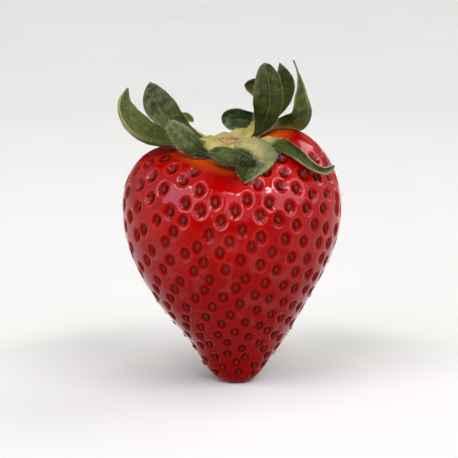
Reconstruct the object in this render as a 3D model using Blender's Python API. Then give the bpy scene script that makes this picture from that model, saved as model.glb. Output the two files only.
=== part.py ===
"""A large heart-shaped strawberry, as picked, standing on the flattened tip of its fruit.

The fleshy fruit is one solid. On its crown sits the calyx: a pale hub with the scar where the
stalk came away, and around it a ring of leaf-like sepals and smaller bracts.
Tables are in millimetres in the frame, and a mesh becomes metres when it is made. The origin is
the centre of the flat spot on the tip, +Z is up, and +X is to the right of somebody who looks
along +Y at the front of the fruit.
"""

import math

import bmesh
import bpy
import numpy as np
from mathutils import Vector
from mathutils.bvhtree import BVHTree

MM = 0.001
FIT_GAP = 0.4  # clearance between pieces that touch

# ---------------------------------------------------------------- driving dimensions, in mm
# Outlines of the fruit from the edge of the flat spot, up the side, over the shoulder and
# down to the middle of the crown: (distance from the axis, height). The flat spot reaches a
# little further left than right, because the middle of the fruit's weight lies there.
FOOT_RADIUS = 3.3
FOOT_SHIFT = 0.25
CROWN_MIDDLE = 45.7
LEFT_OUTLINE = [
    (FOOT_RADIUS + FOOT_SHIFT, 0), (4.9, 1.3), (6.7, 3.8), (9.8, 8.7), (14.0, 13.9), (17.8, 19.6),
    (20.8, 26.0), (22.1, 33.4), (21.5, 39.6), (19.6, 43.9), (15.4, 46.4), (9.8, 46.6), (4.5, 46.0),
    (0, CROWN_MIDDLE),
]
RIGHT_OUTLINE = [
    (FOOT_RADIUS - FOOT_SHIFT, 0), (4.3, 1.3), (6.1, 3.8), (9.4, 8.7), (12.4, 13.9), (15.6, 19.6),
    (18.6, 26.0), (20.1, 33.4), (19.5, 39.2), (17.2, 44.4), (12.5, 48.9), (8.0, 49.8), (4.2, 48.0),
    (0, CROWN_MIDDLE),
]
FRONT_OUTLINE = [
    (FOOT_RADIUS, 0), (4.7, 1.3), (6.3, 3.8), (9.3, 8.7), (12.6, 13.9), (15.4, 19.6), (17.5, 26.0),
    (18.5, 32.5), (17.8, 38.0), (15.6, 41.6), (11.8, 43.4), (7.8, 43.9), (4.0, 44.9), (0, CROWN_MIDDLE),
]
REAR_OUTLINE = [
    (FOOT_RADIUS, 0), (4.7, 1.3), (6.3, 3.8), (9.3, 8.7), (12.6, 13.9), (15.4, 19.6), (17.5, 26.0),
    (18.3, 32.5), (17.3, 38.2), (15.0, 42.2), (11.4, 45.0), (7.8, 46.4), (4.0, 46.5), (0, CROWN_MIDDLE),
]
NOTCH_TURN = math.radians(-97)  # where the front valley of the heart runs up to the crown
NOTCH_HALF_ANGLE = 0.42
NOTCH_DEPTH = 0.09  # share of the radius lost in it
NOTCH_FROM = 24.0
FLESH_ROWS = 34
FLESH_COLUMNS = 48

HUB_CENTRE = (-1.6, -0.4)
HUB_RADIUS = 6.1
HUB_RIM_THICKNESS = 0.8
HUB_MIDDLE_THICKNESS = 1.3
HUB_COLUMNS = 36
SCAR_RADIUS = 1.5
SCAR_HEIGHT = 0.6

LEAF_THICKNESS = 0.5
LEAF_ROWS = 10
LEAF_COLUMNS = 4
LEAF_BASE_SHARE = 0.36  # a leaf's width where it leaves the hub, over its greatest width
LEAF_TIP_SHARE = 0.08


# ---------------------------------------------------------------- curves
def smooth_curve(points, at):
    """Natural cubic spline through the points, read at fractions of its chord length."""
    points = np.asarray(points, float)
    at = np.asarray(at, float)
    knots = np.concatenate([[0.0], np.cumsum(np.linalg.norm(np.diff(points, axis=0), axis=1))])
    knots /= knots[-1]
    count = len(points)
    step = np.diff(knots)
    slope = np.diff(points, axis=0) / step[:, None]
    system = np.eye(count)
    right = np.zeros_like(points)
    for i in range(1, count - 1):
        system[i, i - 1 : i + 2] = step[i - 1], 2 * (step[i - 1] + step[i]), step[i]
        right[i] = 6 * (slope[i] - slope[i - 1])
    bend = np.linalg.solve(system, right)
    span = np.clip(np.searchsorted(knots, at, side="right") - 1, 0, count - 2)
    h = step[span][:, None]
    before = (knots[span + 1] - at)[:, None]
    after = (at - knots[span])[:, None]
    return (
        bend[span] * before**3 / (6 * h)
        + bend[span + 1] * after**3 / (6 * h)
        + (points[span] / h - bend[span] * h / 6) * before
        + (points[span + 1] / h - bend[span + 1] * h / 6) * after
    )


def ease(value, low, high):
    """0 below low, 1 above high and a smooth step between them."""
    share = np.clip((value - low) / (high - low), 0, 1)
    return share * share * (3 - 2 * share)


def unit(vectors):
    return vectors / np.linalg.norm(vectors, axis=-1, keepdims=True)


# ---------------------------------------------------------------- object helpers
def clear_scene():
    for old in list(bpy.data.objects):
        bpy.data.objects.remove(old)


def material(name, colour, roughness):
    made = bpy.data.materials.new(name)
    made.use_nodes = True
    surface = made.node_tree.nodes["Principled BSDF"]
    surface.inputs["Base Color"].default_value = (*colour, 1)
    surface.inputs["Roughness"].default_value = roughness
    surface.inputs["Metallic"].default_value = 0.0
    return made


def add_object(name, body, finish, origin=(0, 0, 0), parent=None):
    """An object of this bmesh, whose points are in mm in the frame, with its origin at origin."""
    mesh = bpy.data.meshes.new(name)
    for vertex in body.verts:
        vertex.co = [(vertex.co[k] - origin[k]) * MM for k in range(3)]
    body.to_mesh(mesh)
    body.free()
    mesh.shade_smooth()
    mesh.set_sharp_from_angle(angle=math.radians(50))
    mesh.materials.append(finish)
    made = bpy.data.objects.new(name, mesh)
    bpy.context.scene.collection.objects.link(made)
    made.parent = parent
    parent_place = parent.location if parent else (0, 0, 0)
    made.location = [origin[k] * MM - parent_place[k] for k in range(3)]
    return made


def closed_rings(rings, start_centre, end_centre):
    """A bmesh of quads between rings of points. An end is a flat face, or a fan to a centre."""
    body = bmesh.new()
    loops = [[body.verts.new(point) for point in ring] for ring in rings]
    count = len(loops[0])
    for lower, upper in zip(loops, loops[1:]):
        for i in range(count):
            j = (i + 1) % count
            body.faces.new((lower[i], lower[j], upper[j], upper[i]))
    for loop, centre in ((loops[0], start_centre), (loops[-1], end_centre)):
        if centre is None:
            body.faces.new(loop)
            continue
        middle = body.verts.new(centre)
        for i in range(count):
            body.faces.new((loop[i], loop[(i + 1) % count], middle))
    bmesh.ops.recalc_face_normals(body, faces=body.faces)
    return body


# ---------------------------------------------------------------- berry flesh
def flesh_point(along, turn):
    """Point of the fruit's surface: along runs from foot to crown and turn round the axis.

    Radius and height are those of the four outlines, weighted by the square of the cosine of the
    angle between each and turn. The front valley then takes a share of the radius off.
    """
    sides = (RIGHT_OUTLINE, 0), (REAR_OUTLINE, 0.5), (LEFT_OUTLINE, 1), (FRONT_OUTLINE, 1.5)
    place = 0
    for outline, half_turns in sides:
        weight = np.clip(np.cos(turn - half_turns * math.pi), 0, None) ** 2
        place = place + weight[:, None] * smooth_curve(outline, along)[:, None]
    radius, height = place[..., 0], place[..., 1]
    away = (turn - NOTCH_TURN + math.pi) % (2 * math.pi) - math.pi
    notch = ease(height, NOTCH_FROM, CROWN_MIDDLE) * np.exp(-((away / NOTCH_HALF_ANGLE) ** 2))
    radius = radius * (1 - NOTCH_DEPTH * notch)
    return np.stack([radius * np.cos(turn), radius * np.sin(turn), height], axis=-1)


def build_flesh():
    along = np.linspace(0, 1, FLESH_ROWS + 1)[:-1]
    turns = np.linspace(0, 2 * math.pi, FLESH_COLUMNS, endpoint=False)
    body = closed_rings(flesh_point(along, turns), None, (0, 0, CROWN_MIDDLE))
    surface = BVHTree.FromBMesh(body)
    red = material("berry_red", (0.52, 0.012, 0.014), 0.28)
    add_object("berry_flesh", body, red)
    return surface


# ---------------------------------------------------------------- calyx hub
def hub_ring(surface, radius, lift):
    """Points on a circle about the hub's centre, at a height over the crown under them."""
    ring = []
    for turn in np.linspace(0, 2 * math.pi, HUB_COLUMNS, endpoint=False):
        x = HUB_CENTRE[0] + radius * math.cos(turn)
        y = HUB_CENTRE[1] + radius * math.sin(turn)
        crown = surface.ray_cast((x, y, 2 * CROWN_MIDDLE), (0, 0, -1))[0]
        ring.append((x, y, crown.z + lift))
    return ring


def hub_top(share):
    """Height of the hub's domed top over the crown, at a share of its radius."""
    return FIT_GAP + HUB_MIDDLE_THICKNESS + (HUB_RIM_THICKNESS - HUB_MIDDLE_THICKNESS) * share**2


def build_hub(surface, calyx):
    """A disc that follows the crown under it, with the low stump of the stalk in its middle."""
    under = [(share * HUB_RADIUS, FIT_GAP) for share in (0.25, 0.5, 0.75, 0.97)]
    over = [(share * HUB_RADIUS, hub_top(share)) for share in (0.97, 0.75, 0.5)]
    edge = [(HUB_RADIUS, FIT_GAP + HUB_RIM_THICKNESS / 2)]
    stump = [(1.1 * SCAR_RADIUS, hub_top(0.25)), (0.9 * SCAR_RADIUS, hub_top(0) + SCAR_HEIGHT)]
    rings = [hub_ring(surface, *level) for level in under + edge + over + stump]
    low = hub_ring(surface, 0, FIT_GAP)[0]
    high = hub_ring(surface, 0, hub_top(0) + 0.6 * SCAR_HEIGHT)[0]
    pale = material("calyx_pale_green", (0.42, 0.46, 0.13), 0.6)
    add_object("calyx_hub", closed_rings(rings, low, high), pale, low, calyx)


# ---------------------------------------------------------------- sepals and bracts
# Each leaf: its midrib from the hub to its tip, the half width where it is widest, where along
# the midrib that is, how sharply it narrows from there to the tip, the way its face looks at
# the base and at the tip, and the angle in radians that each half of the blade is bent through
# towards that face.
LEAVES = {
    "sepal_right_upright": dict(
        midrib=[
            (4.8, -1.6, 50.2), (5.0, -2.6, 52.4), (6.0, -3.2, 56.0),
            (6.0, -3.0, 59.6), (4.9, -2.4, 63.0),
        ],
        half_width=3.2, widest=0.5, taper=0.8, facing=((-0.4, -1.0, 0.4), (-0.1, -1.0, 0.1)), curl=0.5,
    ),
    "sepal_right_folded": dict(
        midrib=[
            (5.5, 1.3, 50.6), (7.5, 0.9, 51.4), (9.3, 0.3, 52.3), (10.9, -0.1, 53.8), (12.0, -0.2, 55.9),
            (12.8, 0.0, 58.2), (12.3, 0.4, 61.0), (10.9, 0.8, 63.2),
        ],
        half_width=2.4, widest=0.35, taper=1.8, facing=((0.1, -1.0, 0.6), (0.6, -0.8, 0.2)), curl=0.4,
    ),
    "sepal_right_rear_upright": dict(
        midrib=[
            (5.0, 3.6, 50.8), (7.5, 4.4, 52.6), (9.2, 4.4, 55.5),
            (9.4, 3.8, 58.7), (8.2, 3.0, 62.0),
        ],
        half_width=2.4, widest=0.6, taper=0.8, facing=((-0.6, -0.9, 0.4), (-0.2, -1.0, 0.0)), curl=0.5,
    ),
    "sepal_rear_right_curled": dict(
        midrib=[
            (3.2, 5.6, 49.6), (4.9, 6.8, 51.9), (5.4, 7.6, 54.8),
            (4.0, 7.6, 57.0), (1.5, 7.0, 57.4),
        ],
        half_width=1.8, widest=0.75, taper=0.6, facing=((-0.4, -0.8, 0.6), (-0.3, -0.9, -0.3)), curl=0.5,
    ),
    "sepal_rear_right_low": dict(
        midrib=[
            (2.8, 7.0, 48.0), (4.6, 9.8, 48.2), (6.4, 12.8, 46.8),
            (8.2, 15.4, 43.6), (9.6, 17.4, 39.6),
        ],
        half_width=2.8, widest=0.55, taper=0.8, facing=((0.0, 0.3, 1.0), (0.5, 0.9, 0.6)), curl=-0.35,
    ),
    "bract_rear_rolled": dict(
        midrib=[(0.7, 6.9, 48.8), (1.2, 7.8, 50.6), (-0.6, 8.2, 51.3), (-2.9, 7.8, 50.9)],
        half_width=1.8, widest=0.6, taper=0.6, facing=((-0.2, -1.0, 0.5), (0.0, -0.9, 0.5)), curl=0.5,
    ),
    "sepal_rear_low": dict(
        midrib=[
            (-1.8, 7.0, 46.8), (-2.4, 10.0, 46.2), (-3.2, 13.2, 44.2),
            (-4.0, 15.8, 40.8), (-4.2, 17.8, 36.8),
        ],
        half_width=2.9, widest=0.5, taper=0.8, facing=((0.0, 0.2, 1.0), (-0.1, 1.0, 0.6)), curl=-0.3,
    ),
    "sepal_rear_left_low": dict(
        midrib=[
            (-4.8, 6.0, 47.0), (-7.4, 8.6, 46.8), (-10.4, 10.8, 45.2),
            (-13.2, 12.6, 42.0), (-15.2, 13.8, 38.4),
        ],
        half_width=2.7, widest=0.5, taper=0.8, facing=((-0.2, 0.3, 1.0), (-0.6, 0.8, 0.6)), curl=-0.3,
    ),
    "bract_left_rear": dict(
        midrib=[(-7.0, 3.9, 48.6), (-9.0, 5.0, 49.8), (-9.8, 5.2, 51.4), (-8.4, 4.6, 51.9)],
        half_width=1.3, widest=0.5, taper=0.8, facing=((-0.2, -0.6, 0.8), (0.4, -0.8, 0.5)), curl=0.5,
    ),
    "sepal_left_upper": dict(
        midrib=[
            (-8.1, 1.5, 48.6), (-10.6, 1.8, 50.2), (-13.2, 1.6, 52.4),
            (-15.6, 1.0, 55.2), (-17.0, 0.2, 58.4),
        ],
        half_width=3.1, widest=0.55, taper=0.8, facing=((-0.1, -0.8, 0.8), (0.2, -1.0, 0.3)), curl=0.35,
    ),
    "sepal_left_outer": dict(
        midrib=[
            (-8.2, -1.8, 47.9), (-11.6, -3.4, 48.2), (-15.4, -4.6, 48.9), (-18.9, -4.8, 50.8),
            (-21.0, -4.0, 53.6), (-21.6, -2.8, 56.2), (-21.1, -2.0, 58.2),
        ],
        half_width=3.0, widest=0.5, taper=0.8, facing=((0.1, -0.6, 1.0), (0.7, -0.9, 0.1)), curl=0.55,
    ),
    "bract_left_front": dict(
        midrib=[(-6.4, -5.3, 46.8), (-8.5, -6.8, 48.4), (-10.6, -7.4, 50.4), (-12.8, -6.8, 53.0)],
        half_width=2.6, widest=0.6, taper=0.6, facing=((-0.3, -0.9, 0.9), (-0.2, -1.0, 0.4)), curl=-0.4,
    ),
    "bract_front_rolled": dict(
        midrib=[(-1.4, -7.4, 46.0), (-2.4, -9.0, 46.4), (-3.9, -9.8, 46.3), (-5.5, -9.2, 45.8)],
        half_width=1.8, widest=0.5, taper=0.6, facing=((-0.1, -0.6, 1.0), (-0.2, -1.0, 0.4)), curl=-0.9,
    ),
    "sepal_front": dict(
        midrib=[
            (3.0, -5.6, 47.9), (4.0, -7.9, 47.5), (3.9, -10.8, 46.5),
            (3.3, -13.4, 44.6), (2.5, -15.0, 42.0),
        ],
        half_width=3.4, widest=0.4, taper=0.8, facing=((0.1, -0.5, 1.0), (-0.1, -1.0, 0.5)), curl=-0.35,
    ),
    "sepal_right_front": dict(
        midrib=[
            (5.4, -4.0, 48.9), (7.3, -6.0, 48.6), (9.1, -7.9, 47.8), (11.5, -9.3, 46.6), (14.2, -9.9, 44.8),
            (16.2, -9.4, 43.6), (18.2, -8.4, 44.0),
        ],
        half_width=2.2, widest=0.45, taper=0.8, facing=((0.0, -0.5, 0.9), (0.7, -0.5, 0.5)), curl=0.3,
    ),
}


def leaf_half_width(along, half_width, widest, taper):
    """Narrow at the base, full at widest and drawn in to a small blunt tip."""
    rising = np.sin(0.5 * math.pi * np.clip(along / widest, 0, 1))
    falling = np.cos(0.5 * math.pi * np.clip((along - widest) / (1 - widest), 0, 1)) ** taper
    share = np.where(along < widest, LEAF_BASE_SHARE + (1 - LEAF_BASE_SHARE) * rising, falling)
    return half_width * np.maximum(share, LEAF_TIP_SHARE)


def leaf_grid(midrib, half_width, widest, taper, facing, curl):
    """Rows of points across the leaf: arcs of the curl's angle, square to the midrib."""
    along = np.linspace(0, 1, LEAF_ROWS + 1)
    middle = smooth_curve(midrib, along)
    forward = unit(np.gradient(middle, axis=0))
    base_face, tip_face = np.array(facing, float)
    face = base_face + (tip_face - base_face) * along[:, None]
    face = unit(face - forward * (face * forward).sum(axis=1, keepdims=True))
    side = np.cross(forward, face)
    width = leaf_half_width(along, half_width, widest, taper)[:, None, None]
    angle = curl * np.linspace(-1, 1, LEAF_COLUMNS + 1)[None, :, None]
    return (
        middle[:, None]
        + width * np.sin(angle) / curl * side[:, None]
        + width * (1 - np.cos(angle)) / curl * face[:, None]
    )


def clear_of_flesh(point, surface):
    """The point, moved straight out until the leaf's thickness and the gap fit under it."""
    clearance = LEAF_THICKNESS / 2 + FIT_GAP
    nearest, outward = surface.find_nearest(point)[:2]
    if (Vector(point) - nearest).dot(outward) >= clearance:
        return point
    return nearest + outward * clearance


def build_leaf(name, shape, surface, finish, calyx):
    body = bmesh.new()
    rows = []
    for row in leaf_grid(**shape):
        rows.append([body.verts.new(clear_of_flesh(point, surface)) for point in row])
    for lower, upper in zip(rows, rows[1:]):
        for i in range(LEAF_COLUMNS):
            body.faces.new((lower[i], lower[i + 1], upper[i + 1], upper[i]))
    leaf = add_object(name, body, finish, shape["midrib"][0], calyx)
    solid = leaf.modifiers.new("blade_thickness", "SOLIDIFY")
    solid.thickness = LEAF_THICKNESS * MM
    solid.offset = 0.0


def build_leaves(surface, calyx):
    sepal_green = material("sepal_green", (0.10, 0.17, 0.045), 0.62)
    bract_green = material("bract_green", (0.15, 0.22, 0.07), 0.65)
    for name, shape in LEAVES.items():
        finish = bract_green if name.startswith("bract") else sepal_green
        build_leaf(name, shape, surface, finish, calyx)


# ---------------------------------------------------------------- the whole strawberry
def main():
    clear_scene()
    surface = build_flesh()
    calyx = bpy.data.objects.new("calyx", None)
    bpy.context.scene.collection.objects.link(calyx)
    calyx.location = (HUB_CENTRE[0] * MM, HUB_CENTRE[1] * MM, CROWN_MIDDLE * MM)
    build_hub(surface, calyx)
    build_leaves(surface, calyx)


main()
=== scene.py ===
"""A large ripe strawberry, as picked, standing on the flattened tip of its fruit.

Sizes are in millimetres in the frame, and a mesh becomes metres when it is made. The origin is
the middle of the flat spot, +Z is up, and +X is to the right of somebody who looks along +Y at
the front of the fruit.
"""
import math

import bpy
import numpy as np
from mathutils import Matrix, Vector


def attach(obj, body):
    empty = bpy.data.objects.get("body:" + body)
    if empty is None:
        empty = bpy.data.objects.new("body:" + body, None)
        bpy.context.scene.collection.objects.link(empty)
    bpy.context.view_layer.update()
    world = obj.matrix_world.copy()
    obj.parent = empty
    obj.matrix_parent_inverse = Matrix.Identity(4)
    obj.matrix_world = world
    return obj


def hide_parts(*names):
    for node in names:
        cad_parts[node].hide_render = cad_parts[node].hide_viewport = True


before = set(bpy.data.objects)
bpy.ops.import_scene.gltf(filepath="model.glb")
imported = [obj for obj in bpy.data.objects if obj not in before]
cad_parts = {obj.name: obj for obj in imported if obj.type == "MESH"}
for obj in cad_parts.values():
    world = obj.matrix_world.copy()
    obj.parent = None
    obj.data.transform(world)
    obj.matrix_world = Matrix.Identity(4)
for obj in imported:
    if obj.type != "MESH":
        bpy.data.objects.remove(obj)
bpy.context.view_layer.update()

# ---------------------------------------------------------------- the fruit
# The swollen receptacle of the flower: one body of juicy flesh in a thin glossy skin, red where
# light reached it and orange in the shade of the calyx. The skin grew up round the achenes, so
# each of them sits in an oval pit with a rounded lip, deep on the shoulders and shallow at the tip.
MM = 0.001
FOOT_RADIUS = 3.3
FOOT_SHIFT = 0.25
CROWN_MIDDLE = 45.7
# an outline's radius and height, up one side from the flat spot to the middle of the crown
LEFT_OUTLINE = [
    (FOOT_RADIUS + FOOT_SHIFT, 0), (4.9, 1.3), (6.7, 3.8), (9.8, 8.7), (14, 13.9), (17.8, 19.6),
    (20.8, 26), (22.1, 33.4), (21.4, 39.4), (18.9, 43.6), (14.7, 46.1), (9.6, 46.6), (4.5, 46),
    (0, CROWN_MIDDLE),
]
RIGHT_OUTLINE = [
    (FOOT_RADIUS - FOOT_SHIFT, 0), (4.3, 1.3), (6.1, 3.8), (9.4, 8.7), (12.4, 13.9), (15.6, 19.6),
    (18.6, 26), (20.1, 33.4), (19.5, 39.2), (17.2, 44.4), (12.5, 48.9), (8, 49.8), (4.2, 48),
    (0, CROWN_MIDDLE),
]
THIN_WAY = [  # as far up as the front and the rear are alike
    (FOOT_RADIUS, 0), (4.7, 1.3), (6.3, 3.8), (9.3, 8.7), (12.6, 13.9), (15.4, 19.6), (17.5, 26),
]
FRONT_OUTLINE = THIN_WAY + [
    (18.5, 32.5), (17.8, 38), (15.6, 41.6), (11.8, 43.4), (7.8, 43.9), (4, 44.9), (0, CROWN_MIDDLE),
]
REAR_OUTLINE = THIN_WAY + [
    (18.3, 32.5), (17.3, 38.2), (15, 42.2), (11.4, 45), (7.8, 46.4), (4, 46.5), (0, CROWN_MIDDLE),
]
SIDES = (RIGHT_OUTLINE, 0), (REAR_OUTLINE, 0.5), (LEFT_OUTLINE, 1), (FRONT_OUTLINE, 1.5)
NOTCH_TURN = math.radians(-97)  # where the front valley of the heart runs up to the crown
NOTCH_HALF_ANGLE = 0.42
NOTCH_DEPTH = 0.09
NOTCH_FROM = 24.0
HUB_CENTRE = np.array([-1.6, -0.4])
SKIN_ROWS = 236
CROWN_ROWS = 12  # of them, on the crown, which the hub and the leaves cover
SKIN_COLUMNS = 412
SKIN_LUMPS = 0.06  # height of the broad unevenness between the pits

GOLDEN_TURN = math.pi * (3 - math.sqrt(5))
SPACING_TIP = 3.35  # between achenes, at the tip and on the shoulders
SPACING_SHOULDER = 3.95
CELL_SHARE = 0.866  # of the spacing squared: the skin that one achene takes
STRAY_ALONG = 0.0036  # how far an achene is off its place on the spiral
STRAY_TURN = 0.022
LOWEST_ACHENE = 1.9
HIGHEST_ACHENE = 47.5
NOTCH_BARE = 8.0  # how much lower the achenes end in the front valley
BARE_RADIUS = 13.0  # none grow nearer than this to the middle of the calyx
PIT_ACROSS = 1.3  # half width and half height of a pit's lip on the shoulders, and its reach inwards
PIT_ALONG = 1.6
PIT_THROUGH = 1.5
PIT_DISH = 0.36  # depth of the slope from the lip to the pocket that holds the achene
PIT_POCKET = 0.26
LIP_HEIGHT = 0.075
SWELL_HEIGHT = 0.08


def smooth_curve(points, at):
    """Natural cubic spline through the points, read at fractions of its chord length."""
    points = np.asarray(points, float)
    knots = np.concatenate([[0.0], np.cumsum(np.linalg.norm(np.diff(points, axis=0), axis=1))])
    knots /= knots[-1]
    count = len(points)
    step = np.diff(knots)
    slope = np.diff(points, axis=0) / step[:, None]
    system = np.eye(count)
    right = np.zeros_like(points)
    for i in range(1, count - 1):
        system[i, i - 1 : i + 2] = step[i - 1], 2 * (step[i - 1] + step[i]), step[i]
        right[i] = 6 * (slope[i] - slope[i - 1])
    bend = np.linalg.solve(system, right)
    span = np.clip(np.searchsorted(knots, at, side="right") - 1, 0, count - 2)
    h = step[span][..., None]
    before = (knots[span + 1] - at)[..., None]
    after = (at - knots[span])[..., None]
    return (
        bend[span] * before**3 / (6 * h)
        + bend[span + 1] * after**3 / (6 * h)
        + (points[span] / h - bend[span] * h / 6) * before
        + (points[span + 1] / h - bend[span + 1] * h / 6) * after
    )


def ease(value, low, high):
    """0 below low, 1 above high and a smooth step between them."""
    share = np.clip((value - low) / (high - low), 0, 1)
    return share * share * (3 - 2 * share)


def bell(value, middle, width):
    """1 at the middle, falling to nothing on both sides."""
    return np.exp(-(((value - middle) / width) ** 2))


def full_turn(count):
    """Angles that divide a circle evenly."""
    return np.linspace(0, 2 * math.pi, count, endpoint=False)


def unit(vectors):
    """The vectors over their lengths."""
    return vectors / np.linalg.norm(vectors, axis=-1, keepdims=True)


def dot(a, b):
    """Products along the last axis, added up."""
    return (a * b).sum(axis=-1, keepdims=True)


def away_from_notch(turn):
    """The angle from the front valley, at most half a turn either way."""
    return (turn - NOTCH_TURN + math.pi) % (2 * math.pi) - math.pi


def flesh_point(along, turn):
    """Point of the fruit: along runs from foot to crown and turn anticlockwise round the axis.

    Radius and height are those of the four outlines, weighted by the square of the cosine of the
    angle between each and turn. The front valley then takes a share of the radius off.
    """
    place = 0
    for outline, half_turns in SIDES:
        weight = np.clip(np.cos(turn - half_turns * math.pi), 0, None) ** 2
        place = place + weight[..., None] * smooth_curve(outline, along)
    radius, height = place[..., 0], place[..., 1]
    valley = NOTCH_DEPTH * bell(away_from_notch(turn), 0, NOTCH_HALF_ANGLE)
    radius = radius * (1 - valley * ease(height, NOTCH_FROM, CROWN_MIDDLE))
    return np.stack([radius * np.cos(turn), radius * np.sin(turn), height], axis=-1)


def flesh_frame(along, turn):
    """Unit vectors round the fruit, up its side and out of it, from central differences."""
    step = 1e-3
    across = unit(flesh_point(along, turn + step) - flesh_point(along, turn - step))
    up = unit(flesh_point(along + step, turn) - flesh_point(along - step, turn))
    outward = unit(np.cross(across, up))
    return across, unit(np.cross(outward, across)), outward


def place_achenes(random):
    """Positions (along, turn) on a golden-angle spiral that winds up the fruit.

    Each turn of the spiral takes the share of skin that one achene has at that height, so along
    is read where the sum of skin area over that share reaches the achene's number.
    """
    along = np.linspace(0, 1, 800)
    turn = full_turn(24)
    middle = flesh_point(along[:, None], turn)
    stretch = np.linalg.norm(np.gradient(middle, axis=0), axis=-1)
    girth = np.linalg.norm(middle[..., :2], axis=-1) * 2 * math.pi
    spacing = SPACING_TIP + (SPACING_SHOULDER - SPACING_TIP) * ease(middle[..., 2], 3, 30)
    total = np.cumsum((stretch * girth / (CELL_SHARE * spacing**2)).mean(axis=1))
    number = np.arange(0.5, total[-1])
    place = np.interp(number, total, along) + random.normal(0, STRAY_ALONG, number.size)
    stray = random.normal(0, STRAY_TURN, number.size) / np.sin(math.pi * np.clip(place, 0.1, 0.6))
    angle = number * GOLDEN_TURN + stray
    point = flesh_point(place, angle)
    valley = bell(away_from_notch(angle), 0, 0.36)
    from_hub = np.linalg.norm(point[:, :2] - HUB_CENTRE, axis=1)
    grows = (point[:, 2] > LOWEST_ACHENE) & ((point[:, 2] < 30) | (from_hub > BARE_RADIUS))
    grows &= point[:, 2] < HIGHEST_ACHENE - NOTCH_BARE * valley
    return place[grows], angle[grows]


def soft_noise(points, size, seed):
    """Smooth variation between about -1 and 1: a sum of sine waves in random directions."""
    random = np.random.default_rng(seed)
    waves = random.normal(size=(3, 9)) * 2 * math.pi / size / 1.7
    return np.sin(points @ waves + random.uniform(0, 2 * math.pi, 9)).sum(axis=-1) / 4.2


def closed_rings(rings, start, end):
    """Points, quads and triangles of closed surfaces, one for each row of the three arrays.

    A surface is rings of points that turn anticlockwise about the way from start to end. There
    are quads between the rings, and a fan of triangles closes each end at its middle point.
    """
    count, levels, around = rings.shape[:3]
    size = levels * around + 2
    points = np.concatenate([rings.reshape(count, -1, 3), start[:, None], end[:, None]], axis=1)
    here = np.arange(around)
    beside = (here + 1) % around
    low = np.arange(levels - 1)[:, None] * around
    quads = np.stack([low + here, low + beside, low + around + beside, low + around + here], axis=-1)
    top = (levels - 1) * around
    first = np.stack([beside, here, np.full(around, size - 2)], axis=-1)
    last = np.stack([top + here, top + beside, np.full(around, size - 1)], axis=-1)
    shift = np.arange(count)[:, None, None] * size
    quads = (quads.reshape(1, -1, 4) + shift).reshape(-1, 4)
    triangles = (np.concatenate([first, last])[None] + shift).reshape(-1, 3)
    return points.reshape(-1, 3), quads, triangles


def add_object(name, data):
    """An object of this data in the scene, at the origin."""
    made = bpy.data.objects.new(name, data)
    bpy.context.scene.collection.objects.link(made)
    return made


def add_piece(name, surface, finish, masks, uv=None):
    """A smooth mesh of a surface in mm, with a named number on each point, and its UV map."""
    points, quads, triangles = surface
    mesh = bpy.data.meshes.new(name)
    mesh.from_pydata(points * MM, [], quads.tolist() + triangles.tolist())
    for key, value in masks.items():
        layer = mesh.attributes.new(key, "FLOAT", "POINT")
        layer.data.foreach_set("value", np.ravel(value).astype(np.float32))
    if uv is not None:
        corner = np.empty(len(mesh.loops), np.int32)
        mesh.loops.foreach_get("vertex_index", corner)
        mesh.uv_layers.new(name="blade").data.foreach_set("uv", uv[corner].ravel())
    mesh.materials.append(finish)
    mesh.shade_smooth()
    piece = add_object(name, mesh)
    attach(piece, "root")
    return piece


achene_along, achene_turn = place_achenes(np.random.default_rng(7))
achene_point = flesh_point(achene_along, achene_turn)
achene_across, achene_up, achene_out = flesh_frame(achene_along, achene_turn)
# 0 at the tip of the fruit and 1 on its shoulders, where the pits are deep and wide
achene_depth = ease(achene_point[:, 2], 4, 36)
achene_size = 0.86 + 0.14 * achene_depth


def pits(points):
    """Height of the skin over the smooth fruit, and how far in a pit, on its lip or bare it is, for the
    painted shade in pits and on bare skin and the painted glow on lips, which is stronger higher up.

    A point's distance to an achene is measured with the pit's half width, half height and reach
    inwards as units, so it is 1 on the lip. The skin slopes from there to the pocket, where it
    drops again. A low lip stands round the pit, and the skin swells a little between the pits.
    """
    offset = points[:, None] - achene_point
    achene_height = achene_point[:, 2]
    widen = 0.8 + 0.2 * achene_depth + 0.08 * ease(achene_height, 38, 44)
    ways = (achene_across, PIT_ACROSS * widen), (achene_up, PIT_ALONG * widen), (achene_out, PIT_THROUGH)
    distance = np.sqrt(sum((np.einsum("ijk,jk->ij", offset, way) / reach) ** 2 for way, reach in ways))
    nearest = distance.argmin(axis=1)
    away = distance[np.arange(len(points)), nearest]
    deep = 0.42 + 0.58 * ease(achene_height, 26, 43)[nearest]
    slope = np.clip((1 - away) / 0.42, 0, 1)
    dish = PIT_DISH * slope * (1.15 - 0.15 * slope)
    pocket = PIT_POCKET * ease(0.66 - away, 0, 0.26)
    lip = LIP_HEIGHT * bell(away, 1.15, 0.19)
    swell = SWELL_HEIGHT * (1 - np.exp(-1.2 * np.clip(away - 1, 0, 1.2)))
    height = (lip + swell - dish - pocket) * deep
    inside = ease(1.0 - away, -0.02, 0.42)
    # painted light: an orange glow on the lip where the translucent rim catches light, plain on the
    # shoulders and stronger on some pits than on others
    uneven = 0.75 + 0.6 * np.sin(37.0 * np.arange(len(achene_point)))
    bright = (0.1 + 0.7 * ease(achene_height, 18, 34)) * uneven
    ring = bell(away, 1.03, 0.10) * bright[nearest]
    return height, inside, ring, ease(away, 1.9, 3.2)


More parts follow.
